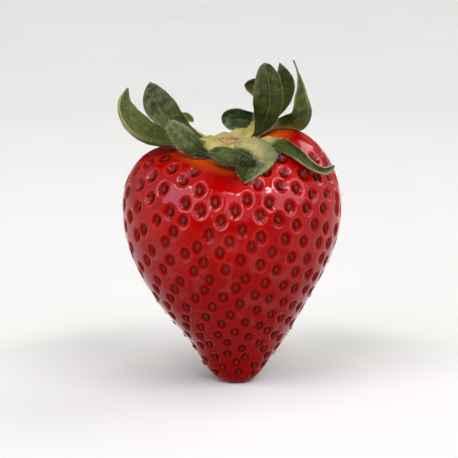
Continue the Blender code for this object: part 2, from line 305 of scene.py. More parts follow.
def build_skin():
    """The fruit's grid, pushed in at the pits and up between them, with its masks.

    shade rises towards the hub. dull takes the gloss away high on the left, where the leaves hang
    over the skin, in the front valley and, in part, at the tip.
    """
    crown = np.linspace(0.905, 0.99, CROWN_ROWS)
    along = np.concatenate([np.linspace(0, 0.90, SKIN_ROWS - CROWN_ROWS), crown])
    turn = full_turn(SKIN_COLUMNS)
    rings = flesh_point(along[:, None], turn)
    outward = flesh_frame(along[:, None], turn)[2]
    height, inside, ring, bare = (np.stack(part) for part in zip(*map(pits, rings)))
    x, y, z = np.moveaxis(rings, -1, 0)
    from_hub = np.linalg.norm(rings[..., :2] - HUB_CENTRE, axis=-1)
    covered = ease(z, 30, 40) * (1 - ease(from_hub, 7.0, 9.5))
    standing = ease(z, 0.3, 2.2)
    height = (height * (1 - covered) + SKIN_LUMPS * soft_noise(rings, 7.0, 3)) * standing
    sheltered = ease(z, 41.5, 44.5) * ease(-x, 2, 8)
    valley = bell(x, -3.2, 4.2) * ease(z, 37.0, 40.5) * (y < 0)
    tip = 0.7 * (1 - ease(z, 2, 11))
    masks = dict(
        pit=inside,
        lip=ring,
        shade=ease(z, 34, 41) * (1 - ease(from_hub, 6.5, 15.5)),
        # bare also darkens the skin's colour: painted shade far from achenes and, with sheltered, under the
        # leaves high on the left
        bare=np.maximum(bare, 0.55 * sheltered),
        dull=np.max([valley, tip, 0.85 * sheltered], axis=0),
    )
    masks = {key: np.append(value.ravel(), [0.0, value[-1].mean()]) for key, value in masks.items()}
    rings = rings + outward * height[..., None]
    return closed_rings(rings[None], np.zeros((1, 3)), np.array([[0.0, 0.0, CROWN_MIDDLE]])), masks


def feed(node, sockets):
    """Links a node's inputs to sockets, or sets them to values, a colour from three numbers."""
    for key, value in sockets.items():
        if isinstance(value, bpy.types.NodeSocket):
            node.id_data.links.new(value, node.inputs[key])
        elif node.inputs[key].type == "RGBA":
            node.inputs[key].default_value = (*value, 1)
        else:
            node.inputs[key].default_value = value


def add_node(kind, sockets, tree=None, **settings):
    """A node in the tree given, or else in that of the sockets that feed it."""
    linked = [value.id_data for value in sockets.values() if isinstance(value, bpy.types.NodeSocket)]
    node = (tree or linked[0]).nodes.new(kind)
    for key, value in settings.items():
        setattr(node, key, value)
    feed(node, sockets)
    return node


def new_material(name):
    """A material and its node tree."""
    made = bpy.data.materials.new(name)
    made.use_nodes = True
    return made, made.node_tree


def finished(made, sockets):
    """The material, with its Principled BSDF's inputs linked to sockets or set to values."""
    feed(made.node_tree.nodes["Principled BSDF"], sockets)
    return made


def object_place(tree):
    """Place on the piece in metres."""
    return add_node("ShaderNodeTexCoord", {}, tree).outputs["Object"]


def axes(vector):
    """A vector's X, Y and Z."""
    return add_node("ShaderNodeSeparateXYZ", {0: vector}).outputs


def mask(tree, name):
    """The number that the mesh keeps on its points under this name."""
    return add_node("ShaderNodeAttribute", {}, tree, attribute_name=name).outputs["Fac"]


def scaled(value, low, high, to_low=0.0, to_high=1.0):
    """value's stretch from low to high brought to the stretch from to_low to to_high."""
    sockets = {"Value": value, "From Min": low, "From Max": high, "To Min": to_low, "To Max": to_high}
    return add_node("ShaderNodeMapRange", sockets).outputs["Result"]


def combined(operation, first, *others):
    """The values put together by one operation of a Math node, two at a time."""
    for other in others:
        first = add_node("ShaderNodeMath", {0: first, 1: other}, operation=operation).outputs[0]
    return first


def mix_colour(share, low, high, blend="MIX"):
    """A colour between low and high. The colour sockets of a Mix node are inputs 6 and 7."""
    sockets = {0: share, 6: low, 7: high}
    return add_node("ShaderNodeMix", sockets, data_type="RGBA", blend_type=blend).outputs[2]


def layered(colour, layers):
    """The colour with each layer's colour laid over it in turn, by the layer's share."""
    for share, over in layers:
        colour = mix_colour(share, colour, over)
    return colour


def noise(place, size, detail=2.0, stretch=(1, 1, 1)):
    """Noise with features of about size mm, drawn out along an axis by its stretch."""
    scale = [1 / (size * MM * part) for part in stretch]
    spread = add_node("ShaderNodeMapping", {"Vector": place, "Scale": scale})
    sockets = {"Vector": spread.outputs["Vector"], "Scale": 1.0, "Detail": detail}
    return add_node("ShaderNodeTexNoise", sockets).outputs["Fac"]


def relief(height, strength, depth):
    """The normal of a surface that rises by depth mm where height is 1."""
    sockets = {"Height": height, "Strength": strength, "Distance": depth * MM}
    return add_node("ShaderNodeBump", sockets).outputs["Normal"]


def berry_skin():
    """Deep red in brighter and deeper patches, orange in the calyx's shade, with paler pinker patches low
    down.

    Painted shade deepens the red towards the tip, in the pits, on skin far from achenes, under the
    leaves high on the left and round the calyx's shadow, and a painted orange glow lights the pits' lips.

    The gloss is a coat over matt flesh. It is gone, or nearly so, where skin is shaded, bare or
    dull, and weaker in the pits. Heights are in metres, as Object coordinates are.
    """
    made, tree = new_material("berry_skin")
    place = object_place(tree)
    height = axes(place)["Z"]
    pit, lip, shade, bare, dull = (mask(tree, name) for name in ("pit", "lip", "shade", "bare", "dull"))
    patches = scaled(noise(place, 9.0), 0.38, 0.64)
    red = mix_colour(patches, (0.235, 0.0003, 0.0004), (0.300, 0.0006, 0.0004))
    # paler, pinker patches on the lower middle of the fruit, between about 10 and 34 mm up
    pale_patches = scaled(noise(place, 3.2, 3.0), 0.50, 0.66, 0.0, 0.55)
    pale_patches = combined("MULTIPLY", pale_patches, scaled(height, 0.034, 0.028), scaled(height, 0.010, 0.016))
    red = layered(red, [
        # painted shade: deeper red towards the tip, where the lower half gets less light, and partly the
        # deeper red of a riper tip
        (scaled(height, 0.036, 0.014, 0.0, 0.8), (0.205, 0.0003, 0.0004)),
        (scaled(noise(place, 0.9, 3.0), 0.55, 0.78, 0.0, 0.35), (0.40, 0.006, 0.005)),
        (pale_patches, (0.23, 0.030, 0.026)),
        # painted shade: darker red on skin far from achenes and under the leaves high on the left
        (scaled(bare, 0, 1, 0.0, 0.75), (0.15, 0.0008, 0.0004)),
        # painted shade: deeper red in the calyx's shadow, round its orange
        (scaled(shade, 0.02, 0.35, 0.0, 0.6), (0.16, 0.0010, 0.0004)),
        (scaled(shade, 0.20, 0.75), (0.35, 0.050, 0.0014)),
        # painted light: an orange glow on the pits' lips
        (scaled(lip, 0, 1, 0, 0.42), (0.52, 0.035, 0.008)),
        # painted shade: darker in the pits
        (scaled(pit, 0, 0.8, 0, 0.62), (0.125, 0.0009, 0.0007)),
    ])
    in_pit = combined("MULTIPLY", scaled(pit, 0.05, 0.6), scaled(height, 0.033, 0.041, 0.80, 0.35))
    in_shade = scaled(shade, 0.0, 0.4, 0.0, 0.9)
    matt = combined("MAXIMUM", in_shade, in_pit, scaled(bare, 0, 1, 0, 0.85), dull)
    return finished(made, {
        "Base Color": red,
        "Roughness": scaled(noise(place, 2.2), 0.3, 0.7, 0.30, 0.44),
        "Normal": relief(noise(place, 0.45, 3.0), 0.10, 0.2),
        "Specular IOR Level": 0.0,
        "Subsurface Weight": 0.12,
        "Subsurface Radius": (1.0, 0.16, 0.10),
        "Subsurface Scale": 0.0016,
        "Coat Weight": scaled(matt, 0, 1, 1, 0),
        "Coat Roughness": 0.07,
        "Coat IOR": 1.42,
    })


skin, skin_masks = build_skin()
fruit = add_piece("fruit_skin", skin, berry_skin(), skin_masks)
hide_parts("berry_flesh")

# ---------------------------------------------------------------- achenes
# The true fruits, which look like seeds: hard dry grains, blunt at the bottom and pointed at the
# top, dark red-brown, with a paler highlight painted on the keel. The dried style of its flower
# still hangs on many of them.
ACHENE_HALF = np.array([0.47, 0.30, 0.70])  # half its width, thickness and length
ACHENE_RINGS = 6
ACHENE_COLUMNS = 8
ACHENE_LEAN = 0.16  # radians to either side of upright, give or take
ACHENE_TAPER = 0.22
KEEL_RISE = 0.18
SUNK_SHOULDER = 0.38  # how deep its middle lies below the smooth fruit
SUNK_TIP = 0.05


def build_achenes(random):
    """Ovals round each achene's long axis, drawn in at the top, and lifted to a keel in front.

    Also where the style is rooted on each, and which way is up along it.
    """
    level = np.linspace(-0.9, 0.9, ACHENE_RINGS)[:, None]
    angle = full_turn(ACHENE_COLUMNS)
    width = np.sqrt(1 - level**2) * (1 - ACHENE_TAPER * level)
    keel = 1 + KEEL_RISE * bell(angle, 1.5 * math.pi, 0.5)
    local = np.stack([width * np.cos(angle), -width * np.sin(angle) * keel, level + 0 * angle], axis=-1)
    number = len(achene_point)
    lean = random.normal(0, ACHENE_LEAN, number)[:, None]
    across = np.cos(lean) * achene_across + np.sin(lean) * achene_up
    up = np.cos(lean) * achene_up - np.sin(lean) * achene_across
    sunk = SUNK_TIP + (SUNK_SHOULDER - SUNK_TIP) * achene_depth
    middle = achene_point - sunk[:, None] * achene_out
    size = ACHENE_HALF * (achene_size * random.uniform(0.9, 1.1, number))[:, None]
    half = np.stack([across, achene_out, up], axis=1) * size[:, :, None]
    # anticlockwise about the long axis, from across towards the inside of the fruit
    rings = middle[:, None, None] + np.einsum("rck,nkd->nrcd", local, half)
    # where the keel faces out, for the paler highlight painted on the husk
    front = np.clip(local[..., 1], 0, 1) * bell(local[..., 0], 0, 0.36)
    front = np.broadcast_to(front, (number,) + front.shape).reshape(number, -1)
    tone = random.uniform(0, 1, number)[:, None]
    masks = dict(
        keel=np.concatenate([front, np.zeros((number, 2))], axis=1),
        tone=np.broadcast_to(tone, (number, front.shape[1] + 2)),
    )
    surface = closed_rings(rings, middle - half[:, 2], middle + half[:, 2])
    return surface, masks, middle + half[:, 1] * 0.5 + half[:, 2] * 0.7, up


def achene_husk():
    """Red-brown in two depths and a fine grain, with a highlight painted on the keel that is tan high on
    the fruit.
    """
    made, tree = new_material("achene_husk")
    place = object_place(tree)
    brown = mix_colour(mask(tree, "tone"), (0.095, 0.009, 0.005), (0.13, 0.018, 0.009))
    # painted highlight on the keel: tan high on the fruit and redder lower down
    lower = scaled(axes(place)["Z"], 0.040, 0.026)
    ridge = mix_colour(lower, (0.115, 0.036, 0.014), (0.115, 0.019, 0.010))
    brown = mix_colour(scaled(mask(tree, "keel"), 0.1, 0.9, 0.0, 0.5), brown, ridge)
    grain = scaled(noise(place, 0.25, 2.0), 0.35, 0.7, 0.75, 1.2)
    brown = mix_colour(1.0, brown, grain, "MULTIPLY")
    return finished(made, {"Base Color": brown, "Roughness": 0.5, "Specular IOR Level": 0.06})


achene_surface, achene_masks, style_root, style_way = build_achenes(np.random.default_rng(11))
achenes = add_piece("achenes", achene_surface, achene_husk(), achene_masks)

STYLE_LENGTH = 1.5
STYLE_RADIUS = 0.035
STYLES_KEPT = 0.45  # share of the achenes that still carry one
HAIR_SIDES = 3


def hairs(root, way, bend, length, radius):
    """Closed tapering hairs that leave their roots along way and curve towards bend.

    A hair's middle is root + length * (t * way + t * t * bend) for t from 0 to 1.
    """
    share = np.array([0.0, 0.3, 0.6, 0.85])[None, :, None]
    length = length[:, None, None]
    middle = root[:, None] + length * (share * way[:, None] + share**2 * bend[:, None])
    forward = unit(way[:, None] + 2 * share * bend[:, None])
    side = unit(np.cross(forward, np.roll(forward, 1, axis=-1)))
    other = np.cross(forward, side)
    angle = full_turn(HAIR_SIDES)[:, None]
    ring = np.cos(angle) * side[:, :, None] + np.sin(angle) * other[:, :, None]
    rings = middle[:, :, None] + radius * (1 - share)[..., None] * ring
    return closed_rings(rings, root, root + length[:, 0] * (way + bend))


def build_styles(random):
    """A thread from the upper half of an achene, which leans up the fruit and out from it."""
    kept = random.uniform(size=len(style_root)) < STYLES_KEPT
    number = kept.sum()
    way = unit(style_way[kept] * 0.6 + achene_out[kept] * random.uniform(0.15, 0.8, (number, 1)))
    bend = random.normal(0, 0.22, (number, 3)) + 0.15 * achene_up[kept]
    length = STYLE_LENGTH * random.uniform(0.6, 1.1, number)
    return hairs(style_root[kept], way, bend, length, STYLE_RADIUS)


def dry_thread():
    """Rust to straw, in stretches."""
    made, tree = new_material("dry_thread")
    share = scaled(noise(object_place(tree), 0.8), 0.35, 0.65)
    straw = mix_colour(share, (0.14, 0.02, 0.01), (0.26, 0.11, 0.05))
    return finished(made, {"Base Color": straw, "Roughness": 0.7})


add_piece("dried_styles", build_styles(np.random.default_rng(5)), dry_thread(), {})

# ---------------------------------------------------------------- the hub of the calyx
# The swollen end of the flower stalk, pale yellow-green and downy, which lies on the crown like a
# small cushion. The stalk came away from it and left a torn ring round a brown hollow.
HUB_RADIUS = 6.1
HUB_RIM_RISE = 1.2  # of its top over the crown, at its rim and in its middle
HUB_MIDDLE_RISE = 1.7
HUB_GAP = 0.02  # between its underside and the crown
HUB_COLUMNS = 108
BULGE_RISE = 1.3  # of its swelling at the rear right, and which way that lies
BULGE_TURN = 0.9
SCAR_RADIUS = 1.75
SCAR_HEIGHT = 0.5
SCAR_REACH = np.array([1.12, 1.02, 0.94, 0.84, 0.72, 0.56, 0.36, 0.18])  # shares of the two above
SCAR_CLIMB = np.array([0.06, 0.45, 0.9, 1.0, 0.72, 0.34, 0.2, 0.16])


def crown_height(place):
    """Height of the fruit's top at plan points, by halving the stretch of along that holds each."""
    turn = np.arctan2(place[..., 1], place[..., 0])
    reach = np.linalg.norm(place[..., :2], axis=-1)
    low, high = np.full(reach.shape, 0.62), np.ones(reach.shape)
    for _ in range(22):
        middle = (low + high) / 2
        wide = np.linalg.norm(flesh_point(middle, turn)[..., :2], axis=-1) > reach
        low, high = np.where(wide, middle, low), np.where(wide, high, middle)
    return flesh_point(low, turn)[..., 2]


def hub_point(share, turn, lift):
    """Point at a share of the hub's wavy radius and a lift over the crown under it."""
    reach = share * HUB_RADIUS * (1 + 0.05 * np.sin(3 * turn + 0.6) + 0.04 * np.sin(7 * turn))
    plan = HUB_CENTRE + np.stack([reach * np.cos(turn), reach * np.sin(turn)], axis=-1)
    return np.concatenate([plan, (crown_height(plan) + lift)[..., None]], axis=-1)


def hub_top(share):
    """Rise of the hub's top over the crown: a parabola from its middle out to its rim."""
    return HUB_MIDDLE_RISE + (HUB_RIM_RISE - HUB_MIDDLE_RISE) * share**2


def build_hub():
    """A cushion of rings: its underside from the middle out, its rim, its top, and the torn scar.

    The top has a low rib towards each sepal, finer wrinkles between, lumps all over and a bulge
    at the rear right. The scar rises to a ragged ring and falls again to a hollow.
    """
    turn = full_turn(HUB_COLUMNS)
    under = np.linspace(0.2, 0.98, 8)
    over = np.linspace(1.0, 0.30, 40)
    scar = SCAR_REACH * SCAR_RADIUS / HUB_RADIUS
    climb = np.concatenate([np.zeros(len(over)), SCAR_CLIMB * SCAR_HEIGHT])[:, None]
    top = np.concatenate([over, scar])[:, None]
    ragged = 1 + 0.28 * np.sin(5 * turn + 1.0) + 0.22 * np.sin(11 * turn)
    ribs = 0.20 * np.cos(10 * turn + 0.5) + 0.07 * np.cos(31 * turn + 2 * np.sin(3 * turn))
    bulge = BULGE_RISE * np.exp((np.cos(turn - BULGE_TURN) - 1) / 0.35)
    bulge = bulge * ease(top, 0.25, 0.7) * (1 - ease(top, 0.86, 1.0))
    strength = ease(top, 0.24, 0.55)
    lift = hub_top(top) * ease(1.03 - top, 0, 0.16) + HUB_GAP + climb * ragged + strength * ribs + bulge
    upper = hub_point(top, turn, lift)
    upper[..., 2] += 0.14 * soft_noise(upper, 2.2, 21) * strength
    lower = hub_point(under[:, None], turn, HUB_GAP + 0 * turn)
    middle = hub_point(np.zeros(1), np.zeros(1), 0.0)
    low, high = middle + (0, 0, HUB_GAP), middle + (0, 0, hub_top(0) + climb[-1, 0])
    share = np.concatenate([under[:, None], top]) + 0 * turn
    torn = np.concatenate([np.zeros(len(under) + len(over)), ease(-scar, -0.33, -0.24)])
    masks = dict(rim=ease(share, 0.55, 1.05), torn=torn[:, None] + 0 * turn)
    masks = {key: np.append(value.ravel(), [0.5, 1.0]) for key, value in masks.items()}
    return closed_rings(np.concatenate([lower, upper])[None], low, high), masks


def hub_flesh():
    """Pale yellow-green, greener in blotches and at the rim, and brown in stains and the scar."""
    made, tree = new_material("hub_flesh")
    place = object_place(tree)
    blotches = scaled(noise(place, 1.8, 3.0), 0.38, 0.68)
    pale = mix_colour(blotches, (0.335, 0.31, 0.095), (0.24, 0.22, 0.035))
    wood = mix_colour(blotches, (0.33, 0.18, 0.08), (0.15, 0.05, 0.025))
    pale = layered(pale, [
        (scaled(mask(tree, "rim"), 0.2, 1.0, 0.0, 0.55), (0.20, 0.21, 0.035)),
        (scaled(noise(place, 1.1, 2.0), 0.60, 0.75, 0.0, 0.5), (0.26, 0.15, 0.04)),
        (scaled(mask(tree, "torn"), 0.1, 1.0, 0.0, 0.85), wood),
    ])
    return finished(made, {
        "Base Color": pale,
        "Roughness": scaled(blotches, 0, 1, 0.50, 0.68),
        "Normal": relief(noise(place, 0.35, 4.0), 0.35, 0.3),
        "Specular IOR Level": 0.15,
    })


hub_surface, hub_masks = build_hub()
hub = add_piece("calyx_cushion", hub_surface, hub_flesh(), hub_masks)
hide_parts("calyx_hub")

# ---------------------------------------------------------------- sepals and bracts
# The green leaves that wrapped the bud: a ring of sepals and smaller bracts, grown from the rim
# of the hub. Each is a thin downy blade with a sunken midrib, lengthwise veins and a pale margin.
LEAF_THICKNESS = 0.5
LEAF_CLEARANCE = 0.12  # between a leaf and the fruit
LEAF_ROWS = 60
LEAF_COLUMNS = 22
LEAF_BASE_ROWS = 5  # the rows that join the blade to the hub
LEAF_ROOT_REACH = 0.72  # where they start, as a share of the hub's radius
LEAF_ROOT_RISE = 0.9
LEAF_TIP_SHARE = 0.08  # width at the tip, and thickness at the margins, as shares of the whole
LEAF_EDGE_SHARE = 0.16
LEAF_LUMPS = 0.1
GROOVE_DEPTH = 0.2  # of the sunken midrib
GROOVE_HALF_WIDTH = 0.25
VEIN_HEIGHT = 0.02
CREASE_AT = 0.68  # where along a leaf a crease is, and how far it spreads to either side
CREASE_SPREAD = 0.045
PUSH_SOFTNESS = 0.3  # how early a leaf starts to move off the fruit
# outline is a blade's half width, where along it that is, and its taper, which is low for a blunt
# tip, and base is how wide it starts. facing is how it is turned at its base and its tip. curl is
# how its section bends, fold how it creases at the midrib, roll how its left and right margins
# turn in, wave how they ripple, and crease a fold straight across it. green is how far up it the
# hub's pale colour runs, its tone from olive to deep, and its bloom of grey down. slant is how
# much further the pale runs on one side, hem how pale its two margins are, and the last how much
# red-brown painted shade, tinted by red light from the fruit, lies on its base.
LEAVES = {
    "sepal_right_upright": dict(
        midrib=[(3.6, -1.6, 48.9), (5, -2.2, 51.1), (6.1, -3, 54.7), (6.1, -3, 57.8), (5.7, -2.7, 60.3),
                (5.1, -2.4, 62.5)],
        outline=(3.2, 0.5, 0.44), facing=((-0.4, -1, 0.4), (-0.1, -1, 0.1)), curl=0.45, fold=0.12,
        roll=(0, 0.3), green=(-0.06, 0.9, 0.3), wave=0.04, hem=(0.14, 0), base=0.16,
    ),
    "sepal_right_folded": dict(
        midrib=[(4.9, -0.6, 49.1), (7.8, -0.2, 49.8), (10.4, 0.1, 50.5), (11.9, 0.1, 52.3), (12, 0, 55),
                (12, 0.1, 57.6), (11.7, 0.4, 60.2), (10.8, 0.8, 62.7)],
        outline=(2.4, 0.4, 2.1), facing=((0.1, -1, 0.6), (0.5, -0.9, 0.2)), curl=0.4, fold=0.25,
        roll=(0.4, 0), green=(0.2, 0.5, 0.6), hem=(0.3, 0.5), red_shade=0.6,
    ),
    "sepal_right_rear_upright": dict(
        midrib=[(5, 3.6, 50.8), (7.5, 4.4, 52.6), (9.2, 4.4, 55.5), (9.4, 3.8, 58.7), (8.2, 3, 62)],
        outline=(2.4, 0.6, 0.8), facing=((-0.6, -0.9, 0.4), (-0.2, -1, 0)), curl=0.5, fold=0.15,
        roll=(0, 0.2), green=(0.1, 0.6, 0.25),
    ),
    "sepal_rear_right_curled": dict(
        midrib=[(3.2, 5.6, 49.6), (4.9, 6.8, 51.9), (5.4, 7.6, 54.8), (4, 7.6, 57), (1.5, 7, 57.4)],
        outline=(2.1, 0.78, 0.4), facing=((-0.4, -0.8, 0.6), (-0.3, -0.9, -0.3)), curl=0.5, fold=0.2,
        roll=(0.3, 0), green=(0.1, 0.1, 0.1),
    ),
    "sepal_rear_right_low": dict(
        midrib=[(2.8, 7, 48), (4.6, 9.8, 48.2), (6.4, 12.8, 46.8), (8.2, 15.4, 43.6), (9.6, 17.4, 39.6)],
        outline=(2.8, 0.55, 0.8), facing=((0, 0.3, 1), (0.5, 0.9, 0.6)), curl=-0.35, fold=0.12,
        roll=(-0.4, -0.2), green=(0.22, 0.5, 0.3), wave=0.08,
    ),
    "bract_rear_rolled": dict(
        midrib=[(3.2, 6.2, 48.5), (3.4, 7.2, 49.6), (1.7, 7.8, 50.3), (-0.8, 8, 50.6), (-3, 7.8, 50.8)],
        outline=(2.75, 0.66, 0.36), facing=((-0.2, -1, 0.3), (0, -1, 0.2)), curl=0.4, fold=0.12,
        roll=(0.4, 1), green=(0.06, 0.95, 0.45), wave=0.06, hem=(0.1, 0.5),
    ),
    "sepal_rear_low": dict(
        midrib=[(-1.8, 7, 46.8), (-2.4, 10, 46.2), (-3.2, 13.2, 44.2), (-4, 15.8, 40.8),
                (-4.2, 17.8, 36.8)],
        outline=(2.9, 0.5, 0.8), facing=((0, 0.2, 1), (-0.1, 1, 0.6)), curl=-0.3, fold=0.1,
        roll=(-0.2, -0.4), green=(0.22, 0.45, 0.35), wave=0.08,
    ),
    "sepal_rear_left_low": dict(
        midrib=[(-4.8, 6, 47), (-7.4, 8.6, 46.8), (-10.4, 10.8, 45.2), (-13.2, 12.6, 42),
                (-15.2, 13.8, 38.4)],
        outline=(2.7, 0.5, 0.8), facing=((-0.2, 0.3, 1), (-0.6, 0.8, 0.6)), curl=-0.3, fold=0.12,
        roll=(-0.3, -0.3), green=(0.22, 0.55, 0.3), wave=0.08,
    ),
    "bract_left_rear": dict(
        midrib=[(-7.7, 3.9, 48.2), (-9.9, 4.8, 48.7), (-11.1, 5.2, 49.8), (-10.4, 5, 50.8),
                (-8.5, 4.6, 50.6)],
        outline=(1.6, 0.6, 0.5), facing=((-0.2, -0.6, 0.8), (0.4, -0.8, 0.5)), curl=0.5, fold=0.2,
        roll=(0, 0.3), green=(0.12, 0, 0.05),
    ),
    "sepal_left_upper": dict(
        midrib=[(-8.1, 1.5, 48.4), (-10.8, 1.6, 49.7), (-13.6, 1.4, 51.8), (-15.7, 0.9, 54.9),
                (-16.6, 0.2, 58.6)],
        outline=(3.35, 0.6, 0.6), facing=((-0.1, -0.8, 0.8), (0.2, -1, 0.3)), curl=0.35, fold=0.12,
        roll=(0.3, 0), green=(-0.02, 0.8, 0.8), wave=0.04, hem=(0.1, 0.2), base=0.18,
    ),
    "sepal_left_outer": dict(
        midrib=[(-8.2, -1.8, 47.7), (-11.6, -3.4, 47.8), (-15.6, -4.6, 48.2), (-19.3, -4.8, 50.2),
                (-21.4, -4, 53.2), (-21.7, -2.8, 55.8), (-20.8, -2, 57.7)],
        outline=(3.4, 0.52, 0.7), facing=((0.1, -0.6, 1), (0.7, -0.9, 0.1)), curl=0.5, fold=0.22,
        roll=(1.2, 0.2), green=(-0.02, 0.2, 0.4), hem=(0.75, 0.1), base=0.2,
    ),
    "bract_left_front": dict(
        midrib=[(-5.3, -6.9, 45.5), (-7.4, -7.9, 46.9), (-9.6, -8.2, 48.7), (-11.5, -7.9, 50.5),
                (-13, -7.2, 52.2)],
        outline=(2.2, 0.55, 0.5), facing=((-0.3, -0.9, 0.9), (-0.2, -1, 0.4)), curl=-0.45, fold=0.1,
        roll=(0, -0.3), green=(-0.02, 0.85, 0.8), wave=0.04, hem=(0.15, 0.25),
    ),
    "bract_front_rolled": dict(
        midrib=[(3.3, -14.2, 45.5), (0.9, -13.3, 46), (-1.3, -12.1, 46.4), (-3.6, -10.8, 46.6),
                (-5.5, -9.5, 46.5)],
        outline=(2.2, 0.7, 0.42), facing=((-0.1, -0.8, 0.8), (-0.2, -1, 0.5)), curl=-0.7, fold=0,
        roll=(-0.5, -0.4), green=(-0.03, 0.85, 0.45), base=0.12,
    ),
    "sepal_front": dict(
        midrib=[(2.8, -4.6, 48.4), (3.5, -7.5, 48), (3.4, -10.6, 46.8), (2.3, -13.4, 44.5),
                (1.4, -15, 41.5)],
        outline=(4.4, 0.36, 0.72), facing=((0.2, -0.5, 1), (-0.1, -1, 0.5)), curl=-0.35, fold=0.02,
        roll=(-0.2, -0.2), green=(0.6, 0.8, 0.9), hem=(0.5, 0), base=0.8, slant=-0.2, crease=0.4,
    ),
    "sepal_right_front": dict(
        midrib=[(5.4, -4.4, 48.4), (7.5, -6.4, 47.4), (9.5, -8.2, 46.4), (11.6, -9.3, 45.2),
                (13.8, -10.1, 43.5), (16, -9.9, 42.9), (18.2, -8.6, 43.9)],
        outline=(2.35, 0.46, 0.62), facing=((0, -0.6, 0.9), (0.5, -0.6, 0.6)), curl=0.2, fold=0.75,
        roll=(1.6, -0.4), green=(0.18, 0.6, 0.5), wave=0.1, hem=(0.55, 0.45),
    ),
}


def leaf_half_width(along, half_width, widest, taper, base):
    """Narrow at the base, full at widest and drawn in to a small blunt tip."""
    rising = np.sin(0.5 * math.pi * np.clip(along / widest, 0, 1))
    falling = np.cos(0.5 * math.pi * np.clip((along - widest) / (1 - widest), 0, 1)) ** taper
    share = np.where(along < widest, base + (1 - base) * rising, falling)
    return half_width * np.maximum(share, LEAF_TIP_SHARE)


# points all over the upper fruit, and the way that its skin faces there
upper_fruit = np.linspace(0.45, 0.985, 60)[:, None], np.linspace(0, 2 * math.pi, 90)
flesh_samples = flesh_point(*upper_fruit).reshape(-1, 3)
flesh_normals = flesh_frame(*upper_fruit)[2].reshape(-1, 3)


def clear_of_flesh(points, clearance):
    """The points, moved straight out of the fruit until each is the clearance from its skin.

    The skin near a point is taken as the flat plane through the nearest of its sample points, and
    the move starts softly.
    """
    flat = points.reshape(-1, 3)
    gap = (flat**2).sum(axis=1)[:, None] + (flesh_samples**2).sum(axis=1) - 2 * flat @ flesh_samples.T
    nearest = gap.argmin(axis=1)
    outward = flesh_normals[nearest]
    depth = clearance - dot(flat - flesh_samples[nearest], outward)
    push = 0.5 * (depth + np.sqrt(depth**2 + PUSH_SOFTNESS**2))
    return (flat + push * outward).reshape(points.shape)


def leaf_sheet(phase, midrib, outline, facing, curl, fold, roll, wave=0.05, base=0.36, crease=0.0):
    """The blade's middle surface: a bent section carried along the midrib, square to it.

    The section's slope is curl times across, plus the fold's step at the midrib, plus the rolls
    in its outer halves, and its points are the running sums of the slope's cosine and sine. The
    margins ripple, the midrib lies in a groove, and the veins are low ridges beside it. The first
    rows run on from the base into the hub.
    """
    along = np.linspace(0, 1, LEAF_ROWS + 1)
    across = np.sin(np.linspace(-0.5, 0.5, LEAF_COLUMNS + 1) * math.pi)
    middle = smooth_curve(midrib, along)
    forward = unit(np.gradient(middle, axis=0))
    base_face, tip_face = np.array(facing, float)
    face = base_face + (tip_face - base_face) * along[:, None]
    face = unit(face - forward * dot(face, forward))
    side = np.cross(forward, face)
    width = leaf_half_width(along, *outline, base)
    inward = HUB_CENTRE - middle[0, :2]
    anchor = middle[0, :2] + inward * (1 - LEAF_ROOT_REACH * HUB_RADIUS / np.linalg.norm(inward))
    anchor = np.append(anchor, crown_height(anchor) + LEAF_ROOT_RISE)
    row = np.arange(-LEAF_BASE_ROWS, LEAF_ROWS + 1)
    back = np.maximum(-row / LEAF_BASE_ROWS, 0)[:, None]
    row = np.maximum(row, 0)
    middle = (middle[row] + (anchor - middle[0]) * back)[:, None]
    side, face = side[row, None], face[row, None]
    width = width[row, None] * (1 - 0.25 * back)
    along = along[row, None] - 0.06 * back
    opened = ease(along, 0.05, 0.45)
    left, right = ease(-across, 0.35, 1.0), ease(across, 0.35, 1.0)
    slope = curl * across + opened * (fold * np.tanh(across / 0.12) - roll[0] * left + roll[1] * right)
    heading = np.array([np.cos(slope), np.sin(slope)])
    step = np.diff(across) * (heading[..., 1:] + heading[..., :-1]) / 2
    sums = np.concatenate([np.zeros((2, len(slope), 1)), np.cumsum(step, axis=-1)], axis=-1)
    reach, rise = (sums - sums[..., LEAF_COLUMNS // 2, None]) * width
    ripple = wave * width * across**2 * np.sin(2 * math.pi * 1.7 * along + phase + 1.4 * across)
    groove = -GROOVE_DEPTH * bell(across * width, 0, GROOVE_HALF_WIDTH) * (1 - ease(along, 0.7, 1.0))
    veins = VEIN_HEIGHT * np.cos(2 * math.pi * 3.2 * across) * (1 - across**2) * (1 - min(1, 4 * crease))
    uneven = 1 + 0.02 * np.sin(2 * math.pi * 3.1 * along + 3 * phase + 2 * across)
    uneven = uneven + 0.006 * np.abs(across) ** 3 * np.sin(2 * math.pi * 9 * along + 5 * phase + 9 * across)
    ridge = crease * bell(along - 0.05 * across, CREASE_AT, CREASE_SPREAD) * (1 - 0.6 * across**2)
    rise = rise + (ripple + groove + veins) * ease(along, 0.0, 0.15) + ridge
    sheet = middle + (reach * uneven)[..., None] * side + rise[..., None] * face
    lumps = LEAF_LUMPS * soft_noise(sheet, 1.8, 31) * ease(along, 0.0, 0.2)
    sheet = sheet + lumps[..., None] * face
    return sheet, along, across


